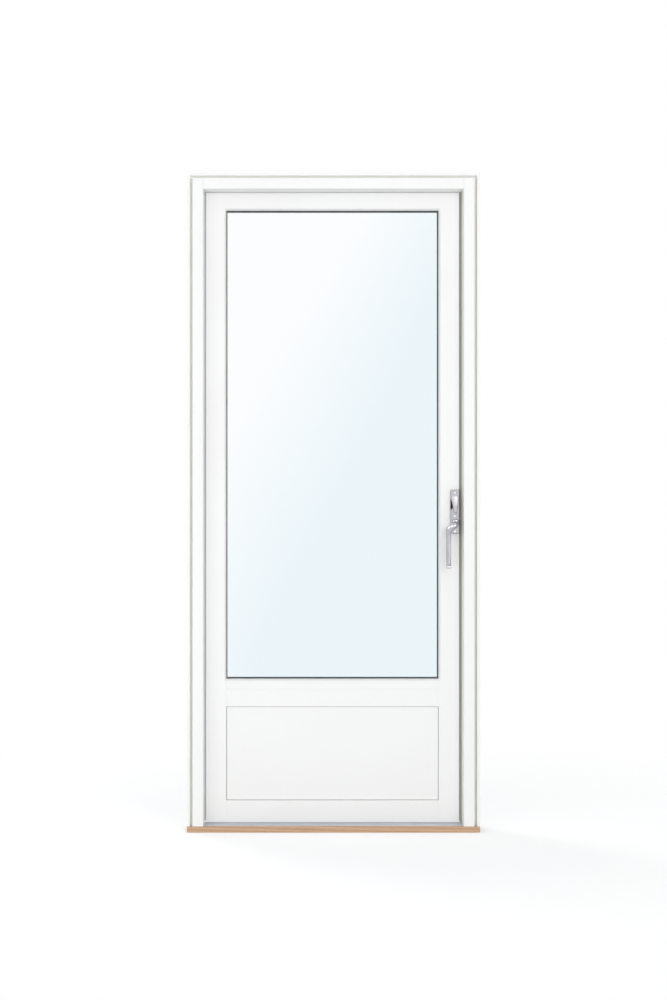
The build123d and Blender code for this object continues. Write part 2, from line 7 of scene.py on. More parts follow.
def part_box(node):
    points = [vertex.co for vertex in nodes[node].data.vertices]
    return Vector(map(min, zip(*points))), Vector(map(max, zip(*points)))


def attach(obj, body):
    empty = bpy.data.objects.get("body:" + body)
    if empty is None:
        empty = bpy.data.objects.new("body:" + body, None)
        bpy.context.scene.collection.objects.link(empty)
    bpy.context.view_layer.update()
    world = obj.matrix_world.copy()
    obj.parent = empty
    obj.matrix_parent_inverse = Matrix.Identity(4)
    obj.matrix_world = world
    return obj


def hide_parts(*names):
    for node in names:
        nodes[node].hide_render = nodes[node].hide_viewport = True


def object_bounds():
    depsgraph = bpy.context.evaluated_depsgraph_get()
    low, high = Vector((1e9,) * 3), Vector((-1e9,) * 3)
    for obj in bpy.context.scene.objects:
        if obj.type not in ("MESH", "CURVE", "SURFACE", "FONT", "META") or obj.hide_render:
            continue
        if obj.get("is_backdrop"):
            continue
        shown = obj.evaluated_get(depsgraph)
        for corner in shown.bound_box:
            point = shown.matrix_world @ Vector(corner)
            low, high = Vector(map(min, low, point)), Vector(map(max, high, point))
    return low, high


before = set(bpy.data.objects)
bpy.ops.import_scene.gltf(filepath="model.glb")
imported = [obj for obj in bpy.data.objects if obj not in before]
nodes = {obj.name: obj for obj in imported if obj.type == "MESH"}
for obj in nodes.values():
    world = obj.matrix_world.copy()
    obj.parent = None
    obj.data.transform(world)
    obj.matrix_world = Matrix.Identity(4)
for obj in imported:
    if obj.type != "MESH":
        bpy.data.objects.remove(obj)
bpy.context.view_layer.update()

scene = bpy.context.scene
scene.view_settings.view_transform = "Standard"

# Node helpers.


def start_material(name):
    """A new material and its tree and shader."""
    material = bpy.data.materials.new(name)
    material.use_nodes = True
    tree = material.node_tree
    return material, tree, tree.nodes["Principled BSDF"]


def place(tree, scale=(1, 1, 1)):
    """Object coordinates, in metres, scaled so that texture can be stretched."""
    coords = tree.nodes.new("ShaderNodeTexCoord")
    mapping = tree.nodes.new("ShaderNodeMapping")
    mapping.inputs["Scale"].default_value = scale
    tree.links.new(coords.outputs["Object"], mapping.inputs["Vector"])
    return mapping.outputs["Vector"]


def grain(tree, scale, detail=3, roughness=0.55, distortion=0):
    """Noise from 0 to 1, with so many waves in a metre along each axis."""
    texture = tree.nodes.new("ShaderNodeTexNoise")
    texture.inputs["Scale"].default_value = 1
    texture.inputs["Detail"].default_value = detail
    texture.inputs["Roughness"].default_value = roughness
    texture.inputs["Distortion"].default_value = distortion
    tree.links.new(place(tree, scale), texture.inputs["Vector"])
    return texture.outputs["Fac"]


def ramp(tree, factor, stops):
    """A colour from a factor, through (position, colour) stops."""
    node = tree.nodes.new("ShaderNodeValToRGB")
    elements = node.color_ramp.elements
    while len(elements) < len(stops):
        elements.new(0.5)
    for element, (position, colour) in zip(elements, stops):
        element.position = position
        element.color = (*colour, 1)
    tree.links.new(factor, node.inputs["Fac"])
    return node.outputs["Color"]


def levels(tree, factor, low, high, start=0.3, end=0.7):
    """A factor spread from start..end to low..high."""
    node = tree.nodes.new("ShaderNodeMapRange")
    node.inputs["From Min"].default_value = start
    node.inputs["From Max"].default_value = end
    node.inputs["To Min"].default_value = low
    node.inputs["To Max"].default_value = high
    tree.links.new(factor, node.inputs["Value"])
    return node.outputs["Result"]


def mix(tree, factor, first, second, how="MIX"):
    """Two colours mixed. A factor or colour may be a socket or a plain value."""
    node = tree.nodes.new("ShaderNodeMix")
    node.data_type = "RGBA"
    node.blend_type = how
    # Of the mix node's sockets these three, and output 2, are the ones for colours.
    sockets = (node.inputs[0], node.inputs[6], node.inputs[7])
    for socket, value in zip(sockets, (factor, first, second)):
        if isinstance(value, bpy.types.NodeSocket):
            tree.links.new(value, socket)
        elif isinstance(value, tuple):
            socket.default_value = (*value, 1)
        else:
            socket.default_value = value
    return node.outputs[2]


def sums(tree, how, first, second=None, third=None):
    """One step of arithmetic on sockets or plain numbers."""
    node = tree.nodes.new("ShaderNodeMath")
    node.operation = how
    for socket, value in zip(node.inputs, (first, second, third)):
        if isinstance(value, bpy.types.NodeSocket):
            tree.links.new(value, socket)
        elif value is not None:
            socket.default_value = value
    return node.outputs[0]


def direct_rays(tree):
    """1 for rays from the camera, from a reflection or through glass, otherwise 0."""
    path = tree.nodes.new("ShaderNodeLightPath")
    seen = sums(tree, "MAXIMUM", path.outputs["Is Camera Ray"], path.outputs["Is Glossy Ray"])
    return sums(tree, "MAXIMUM", seen, path.outputs["Is Transmission Ray"])


def bump(tree, shader, heights):
    """Bumps on the shader, from (height socket, depth in metres) pairs."""
    normal = None
    for height, depth in heights:
        node = tree.nodes.new("ShaderNodeBump")
        node.inputs["Distance"].default_value = depth
        tree.links.new(height, node.inputs["Height"])
        if normal is not None:
            tree.links.new(normal, node.inputs["Normal"])
        normal = node.outputs["Normal"]
    tree.links.new(normal, shader.inputs["Normal"])


def set_colour(tree, shader, colour):
    tree.links.new(colour, shader.inputs["Base Color"])


# Materials.

PAINT = (0.925, 0.925, 0.920)
PAINT_DULL = (0.905, 0.905, 0.897)
PRIMER = (0.86, 0.85, 0.79)
# The head's groove tone is lighter than the jambs' primer: painted light, so that groove reads as
# lit.
HEAD_GROOVE_PAINTED_LIGHT = (0.95, 0.945, 0.92)
# The lining groove's middle on each jamb and on the head, with its half width, and its middle
# from room side to outside, with half its depth.
GROOVE_SIDE = 0.427
GROOVE_LEVEL = 1.967
GROOVE_HALF = 0.0045
GROOVE_MIDDLE_Y = -0.0509
GROOVE_HALF_DEPTH = 0.0059


def painted_wood(name, along, grooved=False):
    """Sprayed white paint on planed wood, its faint grain along X or Z."""
    material, tree, shader = start_material(name)
    stretch = (18, 900, 900) if along == "X" else (900, 900, 18)
    wide = (3, 60, 60) if along == "X" else (60, 60, 3)
    fibre = grain(tree, stretch, detail=4, roughness=0.6)
    wave = grain(tree, wide, detail=2)
    peel = grain(tree, (420, 420, 420), detail=1)
    cloud = grain(tree, (2.2, 2.2, 2.2), detail=2)
    colour = ramp(tree, cloud, [(0.35, PAINT_DULL), (0.62, PAINT)])
    colour = mix(tree, levels(tree, fibre, 0, 0.10), colour, (0.87, 0.865, 0.85))
    if grooved:
        axes = tree.nodes.new("ShaderNodeSeparateXYZ")
        tree.links.new(place(tree), axes.inputs[0])
        across = sums(tree, "ABSOLUTE", axes.outputs["X"])
        upright = sums(tree, "COMPARE", across, GROOVE_SIDE, GROOVE_HALF)
        level = sums(tree, "COMPARE", axes.outputs["Z"], GROOVE_LEVEL, GROOVE_HALF)
        below = sums(tree, "LESS_THAN", axes.outputs["Z"], GROOVE_LEVEL + GROOVE_HALF)
        within = sums(tree, "LESS_THAN", across, GROOVE_SIDE + GROOVE_HALF)
        deep = sums(tree, "COMPARE", axes.outputs["Y"], GROOVE_MIDDLE_Y, GROOVE_HALF_DEPTH)
        deep = sums(tree, "MULTIPLY", deep, sums(tree, "MULTIPLY", below, within))
        # Primer in the jambs' groove; the head's groove gets the lighter tone, which is painted
        # light.
        groove_primer_and_painted_light = mix(tree, level, PRIMER, HEAD_GROOVE_PAINTED_LIGHT)
        inside = sums(tree, "MAXIMUM", upright, level)
        colour = mix(tree, sums(tree, "MULTIPLY", inside, deep), colour, groove_primer_and_painted_light)
    set_colour(tree, shader, colour)
    tree.links.new(levels(tree, peel, 0.36, 0.46), shader.inputs["Roughness"])
    shader.inputs["Specular IOR Level"].default_value = 0.45
    bump(tree, shader, [(fibre, 0.00006), (wave, 0.00012), (peel, 0.00004)])
    return material


def oiled_oak(name):
    """Lacquered oak, its grain along X, with growth rings and open pores."""
    material, tree, shader = start_material(name)
    rings = tree.nodes.new("ShaderNodeTexWave")
    rings.wave_type = "BANDS"
    rings.bands_direction = "DIAGONAL"
    rings.inputs["Scale"].default_value = 1
    rings.inputs["Distortion"].default_value = 5
    rings.inputs["Detail"].default_value = 3
    rings.inputs["Detail Scale"].default_value = 1.2
    tree.links.new(place(tree, (1.1, 34, 46)), rings.inputs["Vector"])
    pores = grain(tree, (60, 1500, 1500), detail=2, roughness=0.7)
    streak = grain(tree, (5, 160, 160), detail=4)
    plank = grain(tree, (2.5, 9, 9), detail=2)
    colour = ramp(
        tree, rings.outputs["Fac"],
        [(0.1, (0.63, 0.415, 0.265)), (0.55, (0.56, 0.355, 0.215)), (0.9, (0.47, 0.285, 0.165))],
    )
    colour = mix(tree, levels(tree, streak, 0, 0.45), colour, (0.66, 0.46, 0.31))
    colour = mix(tree, levels(tree, plank, 0, 0.30), colour, (0.50, 0.305, 0.18))
    colour = mix(tree, levels(tree, pores, 0, 0.55, 0.56, 0.72), colour, (0.28, 0.165, 0.09))
    set_colour(tree, shader, colour)
    tree.links.new(levels(tree, pores, 0.34, 0.58), shader.inputs["Roughness"])
    bump(tree, shader, [(pores, 0.00008), (streak, 0.00010)])
    return material


def metal(name, light, dark, rough, stretch, brushed=0.00001, mottle=(30, 30, 30), blotch=0.5):
    """Metal with brush lines and cloudy tone, so many waves in a metre."""
    material, tree, shader = start_material(name)
    lines = grain(tree, stretch, detail=3, roughness=0.65)
    cloud = grain(tree, mottle, detail=3)
    colour = ramp(tree, cloud, [(0.3, dark), (0.7, light)])
    colour = mix(tree, levels(tree, lines, 0, blotch), colour, dark)
    set_colour(tree, shader, colour)
    shader.inputs["Metallic"].default_value = 1
    tree.links.new(levels(tree, lines, rough - 0.05, rough + 0.06), shader.inputs["Roughness"])
    bump(tree, shader, [(lines, brushed)])
    return material


def rubber(name, light, dark):
    """Soft seal rubber with a matt bloom."""
    material, tree, shader = start_material(name)
    cloud = grain(tree, (9, 9, 9), detail=3)
    fine = grain(tree, (1400, 1400, 1400), detail=2)
    colour = ramp(tree, cloud, [(0.3, dark), (0.7, light)])
    colour = mix(tree, levels(tree, fine, 0, 0.25), colour, dark)
    set_colour(tree, shader, colour)
    tree.links.new(levels(tree, fine, 0.55, 0.75), shader.inputs["Roughness"])
    bump(tree, shader, [(fine, 0.00004)])
    return material


def window_glass(name):
    """Float glass, faintly cool; a painted reflection deepens its tint towards one corner."""
    material, tree, shader = start_material(name)
    axes = tree.nodes.new("ShaderNodeSeparateXYZ")
    tree.links.new(place(tree), axes.inputs[0])
    # Painted reflection: the tint deepens diagonally, from the pane's top on the -X side to its foot
    # on the +X side.
    lean = sums(tree, "MULTIPLY_ADD", axes.outputs["X"], 1.15, 0)
    painted_reflection_slope = sums(tree, "SUBTRACT", lean, sums(tree, "MULTIPLY", axes.outputs["Z"], 0.62))
    painted_reflection_drift = grain(tree, (1.1, 1.1, 0.7), detail=1)
    painted_reflection = sums(tree, "ADD", painted_reflection_slope, sums(tree, "MULTIPLY", painted_reflection_drift, 0.35))
    factor = levels(tree, painted_reflection, 0, 1, -0.92, -0.42)
    colour = ramp(tree, factor, [(0.0, (0.985, 0.992, 0.996)), (1.0, (0.905, 0.952, 0.975))])
    set_colour(tree, shader, colour)
    shader.inputs["Transmission Weight"].default_value = 1
    shader.inputs["Roughness"].default_value = 0
    shader.inputs["IOR"].default_value = 1.45
    ripple = grain(tree, (6, 6, 6), detail=1)
    bump(tree, shader, [(ripple, 0.00002)])
    return material


def foam_core(name):
    """Pressed insulation, seen only where the panel's edge opens."""
    material, tree, shader = start_material(name)
    fine = grain(tree, (240, 240, 240), detail=4)
    colour = ramp(tree, fine, [(0.3, (0.45, 0.42, 0.34)), (0.7, (0.62, 0.58, 0.47))])
    set_colour(tree, shader, colour)
    shader.inputs["Roughness"].default_value = 0.9
    bump(tree, shader, [(fine, 0.0003)])
    return material


paint_upright = painted_wood("paint_upright", "Z")
paint_level = painted_wood("paint_level", "X")
paint_jamb = painted_wood("paint_jamb", "Z", grooved=True)
paint_head = painted_wood("paint_head", "X", grooved=True)
oak = oiled_oak("oak")
aluminium = metal("aluminium", (0.66, 0.68, 0.72), (0.56, 0.585, 0.63), 0.36, (14, 1600, 1600))
spacer_bar = metal("spacer_bar", (0.74, 0.75, 0.77), (0.60, 0.61, 0.63), 0.30, (900, 900, 40))
satin = metal("satin_chrome", (0.49, 0.475, 0.515), (0.39, 0.375, 0.415), 0.28, (1400, 1400, 26))
# The lever's chrome is a lighter copy of the plate's; the extra lightness is painted light on the
# arm.
lever_chrome_painted_light = metal("lever_chrome_painted_light", (0.57, 0.56, 0.60), (0.49, 0.48, 0.52), 0.24, (900, 900, 26))
catch_metal = metal("catch_metal", (0.62, 0.60, 0.64), (0.52, 0.50, 0.54), 0.30, (900, 900, 40))
satin_light = metal("satin_light", (0.74, 0.72, 0.745), (0.62, 0.60, 0.63), 0.30, (700, 700, 60))
zinc = metal(
    "zinc_steel", (0.66, 0.655, 0.63), (0.50, 0.50, 0.49), 0.38, (240, 240, 240),
    brushed=0.00002, mottle=(120, 120, 120),
)
seal_olive = rubber("seal_olive", (0.37, 0.375, 0.28), (0.335, 0.34, 0.255))
gasket_light = rubber("gasket_light", (0.62, 0.64, 0.66), (0.56, 0.58, 0.60))
seal_grey = rubber("seal_grey", (0.60, 0.61, 0.62), (0.54, 0.55, 0.56))
seal_white = rubber("seal_white", (0.88, 0.88, 0.875), (0.84, 0.84, 0.835))
gasket_dark = rubber("gasket_dark", (0.105, 0.110, 0.118), (0.075, 0.080, 0.086))
screw_metal = metal("screw_metal", (0.82, 0.81, 0.83), (0.70, 0.69, 0.71), 0.22, (500, 500, 500))
# The notch's near-black is painted shade for its hollow.
notch_painted_shade = rubber("notch_painted_shade", (0.030, 0.030, 0.032), (0.018, 0.018, 0.020))
glass = window_glass("window_glass")
core = foam_core("panel_core")

NODE_MATERIALS = {
    "threshold_oak": oak,
    "threshold_rail": aluminium,
    "threshold_seal": gasket_dark,
    "frame_jamb_hinge": paint_jamb,
    "frame_jamb_lock": paint_jamb,
    "frame_head": paint_head,
    "leaf_stile_hinge": paint_upright,
    "leaf_stile_lock": paint_upright,
    "leaf_rail_top": paint_level,
    "leaf_rail_middle": paint_level,
    "leaf_rail_bottom": paint_level,
    "leaf_panel_inner": paint_upright,
    "leaf_panel_core": core,
    "leaf_panel_outer": paint_upright,
    "glass_inner": glass,
    "glass_outer": glass,
    "glass_spacer": spacer_bar,
    "glass_gasket_inner": gasket_dark,
    "glass_gasket_outer": gasket_light,
    "glazing_bead_left": paint_upright,
    "glazing_bead_right": paint_upright,
    "glazing_bead_top": paint_level,
    "glazing_bead_bottom": paint_level,
    "leaf_seal_hinge": seal_olive,
    "leaf_seal_lock": seal_olive,
    "leaf_seal_top": seal_olive,
    "drip_bar": paint_level,
    "lock_faceplate": zinc,
    "handle_plate": satin,
    "thumb_catch": catch_metal,
    "lever": lever_chrome_painted_light,
    "lever_cap": satin_light,
}
for number in (1, 2, 3):
    NODE_MATERIALS["hinge_%d_frame" % number] = zinc
    NODE_MATERIALS["hinge_%d_leaf" % number] = zinc
    NODE_MATERIALS["keep_%d" % number] = zinc
    NODE_MATERIALS["handle_screw_%d" % number] = satin_light

# How wide the edges are rounded, for each material.
ARRIS = {paint_upright: 0.0006, paint_level: 0.0006, paint_jamb: 0.0007, paint_head: 0.0007,
         oak: 0.0008, aluminium: 0.0002, zinc: 0.0003, satin: 0.0003}
ARRIS_STEPS = 2
ARRIS_ANGLE = math.radians(32)
WELD_REACH = 0.00001

for name, material in NODE_MATERIALS.items():
    node = nodes[name]
    node.data.materials.clear()
    node.data.materials.append(material)
    if material in ARRIS:
        weld = node.modifiers.new("weld", "WELD")
        weld.merge_threshold = WELD_REACH
        bevel = node.modifiers.new("arris", "BEVEL")
        bevel.width = ARRIS[material]
        bevel.segments = ARRIS_STEPS
        bevel.limit_method = "ANGLE"
        bevel.angle_limit = ARRIS_ANGLE
        normals = node.modifiers.new("normals", "WEIGHTED_NORMAL")
        normals.keep_sharp = False

# Mesh helpers.


def add_piece(name, points, faces, material, body, slot, smooth=True, stands_for=()):
    """A mesh in the shared frame that rides on a body."""
    mesh = bpy.data.meshes.new(name)
    mesh.from_pydata([tuple(p) for p in points], [], faces)
    mesh.validate()
    mesh.materials.append(material)
    mesh.polygons.foreach_set("use_smooth", [smooth] * len(mesh.polygons))
    mesh.update()
    piece = bpy.data.objects.new(name, mesh)
    scene.collection.objects.link(piece)
    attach(piece, body)
    if stands_for:
        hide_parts(*stands_for)
    return piece


def skin(rings):
    """Points and faces of a closed skin over rings of equal count."""
    count = len(rings[0])
    points = [point for ring in rings for point in ring]
    faces = []
    for level in range(len(rings) - 1):
        for at in range(count):
            nxt = (at + 1) % count
            low, high = level * count, (level + 1) * count
            faces.append((low + at, low + nxt, high + nxt, high + at))
    faces.append(tuple(range(count))[::-1])
    faces.append(tuple(range((len(rings) - 1) * count, len(rings) * count)))
    return points, faces


def joined(shapes):
    """Several (points, faces) as one."""
    points, faces = [], []
    for more_points, more_faces in shapes:
        start = len(points)
        points += more_points
        faces += [tuple(start + at for at in face) for face in more_faces]
    return points, faces


# Handle.

PLATE_X = 0.3675
PLATE_FACE = -0.0165
LEVER_AXIS = Vector((0.369, PLATE_FACE, 0.930))
RING = 64


def oval(centre, across, thick, wide, deep):
    """A ring of points round a centre, wide along across and deep along thick."""
    return [
        centre + across * (wide * math.cos(turn)) + thick * (deep * math.sin(turn))
        for turn in (2 * math.pi * at / RING for at in range(RING))
    ]


def bezier(corners, share):
    """The point at a share of the way along a curve with four corners."""
    rest = 1 - share
    weights = (rest ** 3, 3 * rest * rest * share, 3 * rest * share * share, share ** 3)
    total = Vector((0, 0, 0))
    for corner, weight in zip(corners, weights):
        total += Vector(corner) * weight
    return total


def along_line(pairs, at):
    """A value read off (position, value) pairs, eased between them."""
    for (start, low), (end, high) in zip(pairs, pairs[1:]):
        if at <= end:
            share = max(0, (at - start) / (end - start))
            share = share * share * (3 - 2 * share)
            return low + (high - low) * share
    return pairs[-1][1]


# The lever's hub, as (out from the plate's face, radius).
HUB = [(0.0003, 0.0096), (0.0008, 0.0102), (0.0090, 0.0102), (0.0118, 0.0098), (0.0136, 0.0088),
       (0.0148, 0.0070), (0.0153, 0.0045)]
# The corners of the bar's bend: (sideways, out, down) from the axis on the plate's face.
BEND = [
    (0, 0.0070, 0.004), (-0.003, 0.0350, 0.0085), (0.024, 0.0350, 0.0075),
    (0.0230, 0.031, 0.035),
]
BEND_STEPS = 36
GRIP_END = 0.130
GRIP_STEPS = 14
# Half the bar's width and depth. The bend runs from 0 to 1, the grip from 1 to 2.
BAR_WIDE = [
    (0, 0.0088), (0.25, 0.0102), (0.5, 0.0095), (0.8, 0.0091), (1.05, 0.0078), (1.3, 0.0073),
    (2.0, 0.0074),
]
BAR_DEEP = [
    (0, 0.0088), (0.25, 0.0096), (0.5, 0.0083), (0.8, 0.0077), (1.05, 0.0071), (1.3, 0.0066),
    (2.0, 0.0066),
]


def lever_point(sideways, out, down):
    """A point measured from the lever's axis on the plate's face."""
    return LEVER_AXIS + Vector((-sideways, -out, -down))


centres, sizes = [], []
for step in range(BEND_STEPS + 1):
    share = step / BEND_STEPS
    centres.append(lever_point(*bezier(BEND, share)))
    sizes.append((along_line(BAR_WIDE, share), along_line(BAR_DEEP, share)))
for step in range(1, GRIP_STEPS + 1):
    share = step / GRIP_STEPS
    down = BEND[-1][2] + (GRIP_END - BEND[-1][2]) * share
    centres.append(lever_point(BEND[-1][0], BEND[-1][1], down))
    sizes.append((along_line(BAR_WIDE, 1 + share), along_line(BAR_DEEP, 1 + share)))

across = Vector((1, 0, 0))
rings = []
for at in range(len(centres) - 1, -1, -1):
    before, after = centres[max(at - 1, 0)], centres[min(at + 1, len(centres) - 1)]
    heading = (after - before).normalized()
    across = (across - heading * across.dot(heading)).normalized()
    thick = heading.cross(across)
    rings.append(oval(centres[at], across, thick, *sizes[at]))
hub_rings = [
    oval(lever_point(0, out, 0), Vector((1, 0, 0)), Vector((0, 0, 1)), radius, radius)
    for out, radius in HUB
]
add_piece(
    "lever_bar", *joined([skin(rings), skin(hub_rings)]), lever_chrome_painted_light, "lever", "satin_chrome",
    stands_for=["lever"],
)

# The cap on the grip's end, with rounded rims, as (drop, radius).
CAP = [
    (0.0000, 0.0070), (0.0004, 0.0075), (0.0012, 0.0077), (0.0072, 0.0077), (0.0082, 0.0074),
    (0.0088, 0.0068), (0.0090, 0.0058),
]
CAP_DEPTH_SHARE = 0.92
grip_end = lever_point(BEND[-1][0], BEND[-1][1], GRIP_END)
rings = [
    oval(
        grip_end - Vector((0, 0, drop)), Vector((1, 0, 0)), Vector((0, 1, 0)),
        radius, radius * CAP_DEPTH_SHARE,
    )
    for drop, radius in CAP
]
add_piece(
    "lever_end_cap", *skin(rings[::-1]), satin_light, "lever", "satin_chrome",
    stands_for=["lever_cap"],
)

# The thumb catch is a rounded pear. Its outline is drawn in as it rises, as (out, inset).
CATCH = Vector((PLATE_X, PLATE_FACE, 0.9995))
CATCH_RADIUS = 0.011
CATCH_TAIL = 0.037
CATCH_TAIL_RADIUS = 0.005
CATCH_TAIL_SHIFT = 0.002
CATCH_RISE = [(0.0004, 0.0005), (0.0009, 0.0), (0.0050, 0.0), (0.0062, 0.0004), (0.0070, 0.0012),
              (0.0074, 0.0022), (0.00765, 0.0038)]


def pear(inset, out):
    """The catch's outline, drawn in by inset, at a height out from the plate."""
    lean = math.asin((CATCH_RADIUS - CATCH_TAIL_RADIUS) / CATCH_TAIL)
    half = RING // 2
    points = []
    for at in range(half + 1):
        turn = -lean + (math.pi + 2 * lean) * at / half
        radius = CATCH_RADIUS - inset
        points.append(CATCH + Vector((radius * math.cos(turn), -out, radius * math.sin(turn))))
    for at in range(half + 1):
        turn = math.pi + lean + (math.pi - 2 * lean) * at / half
        radius = CATCH_TAIL_RADIUS - inset
        points.append(CATCH + Vector((
            radius * math.cos(turn), -out, radius * math.sin(turn) - CATCH_TAIL,
        )))
    return points


# Fine ribs across the tail give the thumb a hold. Each is a little shorter than the last.
RIB_COUNT = 7
RIB_OUT = 0.0073
RIB_DROP = 0.0200
RIB_STEP = 0.0024
RIB_HALF_LENGTH = 0.0048
RIB_SHORTENING = 0.00035
RIB_RADIUS = 0.0007
RIB_END_RADIUS = 0.0003
RIB_SIDES = 12

catch_shapes = [skin([pear(inset, out) for out, inset in CATCH_RISE])]
for rib in range(RIB_COUNT):
    level = CATCH + Vector((0, -RIB_OUT, -RIB_DROP - RIB_STEP * rib))
    half_length = RIB_HALF_LENGTH - RIB_SHORTENING * rib
    rib_rings = []
    for side in (-1, -0.9, 0, 0.9, 1):
        thin = RIB_RADIUS if abs(side) < 1 else RIB_END_RADIUS
        rib_rings.append([
            level + Vector((half_length * side, -thin * math.sin(turn), thin * math.cos(turn)))
            for turn in (2 * math.pi * at / RIB_SIDES for at in range(RIB_SIDES))
        ])
    catch_shapes.append(skin(rib_rings))
# The tail leans towards the leaf's edge, as the solid's does.
tail_lean = Matrix.Rotation(-math.atan(CATCH_TAIL_SHIFT / CATCH_TAIL), 3, "Y")
catch_shapes = [
    ([CATCH + tail_lean @ (point - CATCH) for point in points], faces)
    for points, faces in catch_shapes
]
add_piece(
    "thumb_catch_pear", *joined(catch_shapes), catch_metal, "catch", "satin_chrome",
    stands_for=["thumb_catch"],
)

# A near-black sheet in the notch beside the catch's tail, painted shade for the notch's hollow:
# its corners as (x, z), and its rings as (out from the plate's face, share of the notch's size).
NOTCH = [(0.3548, 0.9980), (0.3548, 0.9660), (0.3655, 0.9767), (0.3618, 0.9980)]
NOTCH_MIDDLE = Vector((0.3582, 0, 0.9830))
SHADE_SHEET_RINGS = [(-0.0058, 0.97), (-0.0006, 0.97), (-0.0006, 0.90), (-0.0052, 0.88)]
rings = [
    [
        Vector((
            NOTCH_MIDDLE.x + (x - NOTCH_MIDDLE.x) * grow,
            PLATE_FACE - out,
            NOTCH_MIDDLE.z + (z - NOTCH_MIDDLE.z) * grow,
        ))
        for x, z in NOTCH
    ]
    for out, grow in SHADE_SHEET_RINGS
]
add_piece("notch_painted_shade_sheet", *skin(rings), notch_painted_shade, "leaf", "dark_rubber", smooth=False)

# Screws.


SCREW_SIDES = 48
TINY = 1e-6
FAR = 9


def cross_reach(turn, long, wide):
    """How far a cross-shaped recess reaches from its middle, in a direction."""
    c, s = abs(math.cos(turn)), abs(math.sin(turn))
    flat = min(long / c if c > TINY else FAR, wide / s if s > TINY else FAR)
    tall = min(wide / c if c > TINY else FAR, long / s if s > TINY else FAR)
    return max(flat, tall)


def screw_head(centre, out, up, radius, dome=0.0003, twist=0.4):
    """A countersunk head with a cross recess, its rim level with the surface."""
    centre, out, up = Vector(centre), Vector(out).normalized(), Vector(up).normalized()
    side = up.cross(out)
    rings = []

    def ring(reach, height, cross=False):
        points = []
        for at in range(SCREW_SIDES):
            turn = 2 * math.pi * at / SCREW_SIDES
            far = cross_reach(turn, radius * 0.66, radius * 0.17) if cross else 1
            angle = turn + twist
            way = side * math.cos(angle) + up * math.sin(angle)
            points.append(centre + way * (far * reach) + out * height)
        rings.append(points)

    ring(radius * 0.80, -radius * 0.45)
    ring(radius, -0.00005)
    ring(radius * 0.97, dome * 0.45)
    ring(radius * 0.88, dome * 0.8)
    ring(radius * 0.74, dome)
    ring(1.0, dome, cross=True)
    ring(0.96, dome - radius * 0.15, cross=True)
    ring(0.72, dome - radius * 0.70, cross=True)
    return skin(rings)


PLATE_SCREWS = (1.0190, 0.9480, 0.9020)
PLATE_SCREW_RADIUS = 0.0036
PLATE_SCREW_DOME = 0.0006
for number, height in enumerate(PLATE_SCREWS, start=1):
    head = screw_head(
        (PLATE_X, PLATE_FACE, height), (0, -1, 0), (0, 0, 1),
        PLATE_SCREW_RADIUS, PLATE_SCREW_DOME, math.radians(45),
    )
    add_piece(
        "plate_screw_%d" % number, *head, screw_metal, "leaf", "satin_chrome", smooth=False,
        stands_for=["handle_screw_%d" % number],
    )

HINGE_AXIS_X = -0.4025
FLAP_FACE = 0.0605
HINGE_BASES = (0.2030, 0.9263, 1.6496)
LEAF_HALF_LIFT = 0.0484
# A hinge's screws, as (reach from its axis, rise from the foot of its half).
HINGE_SCREWS = ((0.0165, 0.009), (0.0245, 0.024), (0.0165, 0.039))
HINGE_SCREW_RADIUS = 0.0034
FLAT_DOME = 0.0002
for number, base in enumerate(HINGE_BASES, start=1):
    for side, body, lift in ((-1, "frame", 0), (1, "leaf", LEAF_HALF_LIFT)):
        heads = [
            screw_head(
                (HINGE_AXIS_X + side * reach, FLAP_FACE, base + lift + rise),
                (0, 1, 0), (0, 0, 1), HINGE_SCREW_RADIUS, FLAT_DOME, 0.5 + rise * 90,
            )
            for reach, rise in HINGE_SCREWS
        ]
        add_piece(
            "hinge_%d_%s_screws" % (number, body), *joined(heads), screw_metal, body,
            "zinc_steel", smooth=False,
        )

FACEPLATE_FACE = 0.382
EDGE_Y = 0.00875
FACEPLATE_SCREWS = (0.152, 0.330, 0.470, 0.700, 0.885, 1.035, 1.260, 1.480, 1.630, 1.797)
SMALL_SCREW_RADIUS = 0.0032
heads = [
    screw_head(
        (FACEPLATE_FACE, EDGE_Y, height), (1, 0, 0), (0, 0, 1),
        SMALL_SCREW_RADIUS, FLAT_DOME, height * 7,
    )
    for height in FACEPLATE_SCREWS
]
add_piece("faceplate_screws", *joined(heads), screw_metal, "leaf", "zinc_steel", smooth=False)

KEEP_FACE = 0.391
KEEP_SCREW_INSET = 0.0085
for number in (1, 2, 3):
    low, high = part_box("keep_%d" % number)
    heads = [
        screw_head(
            (KEEP_FACE, (low.y + high.y) / 2, height), (-1, 0, 0), (0, 0, 1),
            SMALL_SCREW_RADIUS, FLAT_DOME, height * 5,
        )
        for height in (low.z + KEEP_SCREW_INSET, high.z - KEEP_SCREW_INSET)
    ]
    add_piece(
        "keep_%d_screws" % number, *joined(heads), screw_metal, "frame", "zinc_steel",
        smooth=False,
    )

# Seals.

# Soft seals on the frame close most of the gap on all four sides of the leaf.
SEAL_FOOT = 0.0003
SEAL_HALF = 0.0018
SEAL_TIP = 0.0014
SEAL_LEDGE = 0.0012
SEAL_BOTTOM = 0.0182
SEAL_TOP = 1.9308
SEAL_Y = -0.0048
HEAD_SEAL_END = 0.3905
SEAL_TIP_STEPS = 8
SEAL_HEIGHTS = (SEAL_BOTTOM, 0.5, 1.0, 1.5, SEAL_TOP)
SEAL_PLACES = (-HEAD_SEAL_END, -0.2, 0, 0.2, HEAD_SEAL_END)
# Each seal's name, its foot, its tip and its rubber.
JAMB_SEALS = (
    ("jamb_seal_lock", 0.3886, 0.3834, seal_olive),
    ("jamb_seal_lock_foot", 0.391, 0.3882, seal_white),
    ("jamb_seal_hinge", -0.391, -0.3880, seal_white),
)
LEVEL_SEALS = (
    ("head_seal", 1.931, 1.9272, seal_white),
    ("sill_seal", 0.018, 0.0218, seal_grey),
)


